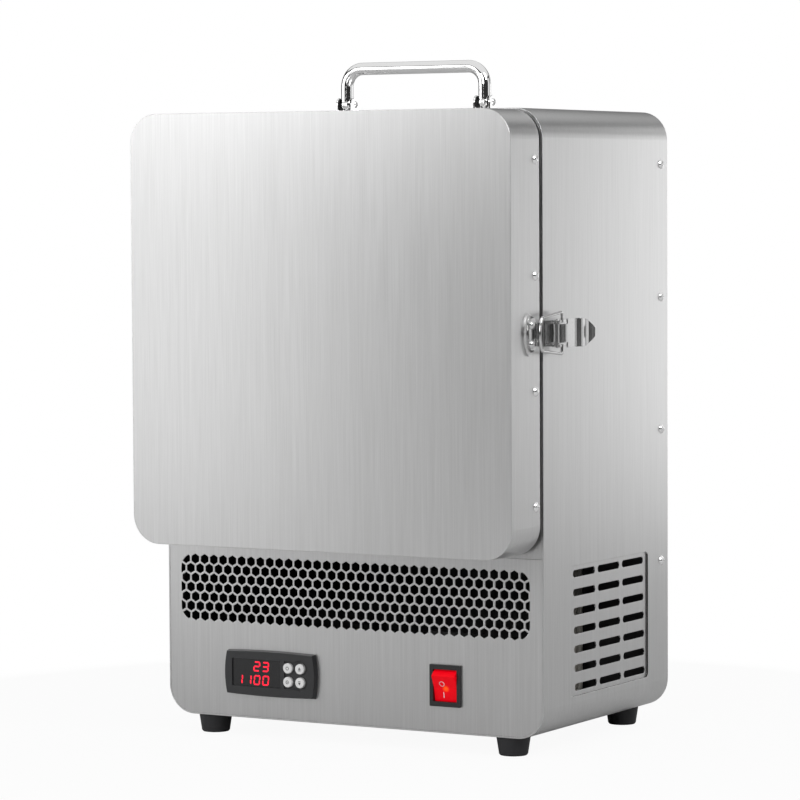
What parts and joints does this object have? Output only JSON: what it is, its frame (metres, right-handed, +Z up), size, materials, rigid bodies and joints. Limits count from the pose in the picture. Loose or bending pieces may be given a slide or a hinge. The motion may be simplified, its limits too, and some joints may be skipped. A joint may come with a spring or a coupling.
{
  "type": "jewellery kiln",
  "caption": "Front-loading benchtop kiln: brushed steel case, side-hung insulated door with a toggle latch, fold-down carry handle, temperature controller and rocker switch.",
  "frame": {"origin": "middle of the whole object's box, on the floor under the feet", "axes": "+Z up, the door faces -Y, its hinges are on the -X side and its latch on the +X side"},
  "size_m": [0.3455, 0.2506, 0.5046],
  "materials": {
    "case_steel": "vertically brushed stainless steel",
    "panel_steel": "brushed stainless steel",
    "inner_steel": "plain sheet steel",
    "door_steel": "vertically brushed stainless steel",
    "rivet_steel": "smooth rivet heads",
    "screw_steel": "zinc-plated",
    "handle_chrome": "bright chrome",
    "latch_chrome": "bright chrome",
    "hinge_steel": "satin",
    "bush_plastic": "matt black",
    "foot_rubber": "black rubber",
    "fibre_board": "ceramic-fibre board",
    "fibre_moulding": "vacuum-formed ceramic fibre",
    "gasket_rope": "woven ceramic-fibre tape",
    "element_wire": "oxidised resistance wire",
    "hearth_ceramic": "cordierite",
    "sheath_ceramic": "glazed ceramic",
    "controller_plastic": "charcoal moulded plastic",
    "display_window": "smoked, glossy",
    "key_rubber": "pale grey",
    "switch_plastic": "black",
    "rocker_red": "translucent red, lit when on",
    "contact_brass": "plain",
    "inlet_plastic": "black",
    "heatsink_metal": "plain extrusion",
    "relay_plastic": "off-white"
  },
  "bodies": {
    "case": {"case_wrap": "case_steel", "front_panel": "panel_steel", "chamber_front": "panel_steel", "rear_panel": "panel_steel", "bay_deck": "inner_steel", "case_rivets": "rivet_steel", "insulation_boards": "fibre_board", "muffle": "fibre_moulding", "heating_elements": "element_wire", "hearth_plate": "hearth_ceramic", "thermocouple": "sheath_ceramic", "controller_case": "controller_plastic", "controller_window": "display_window", "controller_clips": "controller_plastic", "switch_frame": "switch_plastic", "switch_terminals": "contact_brass", "power_inlet": "inlet_plastic", "inlet_pins": "contact_brass", "inlet_screws": "screw_steel", "solid_state_relay": "relay_plastic", "relay_heatsink": "heatsink_metal", "terminal_block": "relay_plastic", "handle_brackets": "handle_chrome", "handle_bushes": "bush_plastic", "handle_pins": "handle_chrome", "bracket_rivets": "screw_steel", "latch_base": "latch_chrome", "latch_base_rivets": "latch_chrome", "latch_pin": "latch_chrome", "hinge_case_leaves": "hinge_steel", "hinge_pins": "hinge_steel", "hinge_case_rivets": "rivet_steel", "feet": "foot_rubber", "foot_screws": "screw_steel", "foot_nuts": "screw_steel"},
    "door": {"door_shell": "door_steel", "door_liner": "inner_steel", "door_plug": "fibre_moulding", "door_gasket": "gasket_rope", "door_rivets": "rivet_steel", "latch_keeper": "latch_chrome", "keeper_rivets": "latch_chrome", "hinge_door_leaves": "hinge_steel", "hinge_door_rivets": "rivet_steel"},
    "carry_handle": {"carry_handle": "handle_chrome"},
    "latch_lever": {"latch_lever": "latch_chrome"},
    "latch_bail": {"latch_bail": "latch_chrome"},
    "switch_rocker": {"switch_rocker": "rocker_red"},
    "key_mode": {"key_mode": "key_rubber"},
    "key_up": {"key_up": "key_rubber"},
    "key_set": {"key_set": "key_rubber"},
    "key_down": {"key_down": "key_rubber"}
  },
  "joints": [
    {"name": "door_swing", "type": "hinge", "parent": "case", "child": "door", "pos_m": [-0.16875, -0.0803, 0.30575], "axis": [0, 0, -1], "range_deg": [0, 180]},
    {"name": "handle_fold", "type": "hinge", "parent": "case", "child": "carry_handle", "pos_m": [-0.00425, 0.0216, 0.4732], "axis": [1, 0, 0], "range_deg": [-95, 95]},
    {"name": "latch_lever_turn", "type": "hinge", "parent": "case", "child": "latch_lever", "pos_m": [0.16225, -0.0686, 0.3053], "axis": [0, 0, -1], "range_deg": [0, 115]},
    {"name": "latch_bail_turn", "type": "hinge", "parent": "latch_lever", "child": "latch_bail", "pos_m": [0.16135, -0.0593, 0.3053], "axis": [0, 0, 1], "range_deg": [0, 138]},
    {"name": "switch_rock", "type": "hinge", "parent": "case", "child": "switch_rocker", "pos_m": [0.07545, -0.07275, 0.0487], "axis": [-1, 0, 0], "range_deg": [0, 34]},
    {"name": "key_mode_press", "type": "slide", "parent": "case", "child": "key_mode", "axis": [0, 1, 0], "range_m": [0, 0.0008], "stiffness_N_per_m": 400},
    {"name": "key_up_press", "type": "slide", "parent": "case", "child": "key_up", "axis": [0, 1, 0], "range_m": [0, 0.0008], "stiffness_N_per_m": 400},
    {"name": "key_set_press", "type": "slide", "parent": "case", "child": "key_set", "axis": [0, 1, 0], "range_m": [0, 0.0008], "stiffness_N_per_m": 400},
    {"name": "key_down_press", "type": "slide", "parent": "case", "child": "key_down", "axis": [0, 1, 0], "range_m": [0, 0.0008], "stiffness_N_per_m": 400}
  ],
  "couplings": [
    {"joint": "latch_bail_turn", "follows": "latch_lever_turn", "ratio": 1.2}
  ]
}
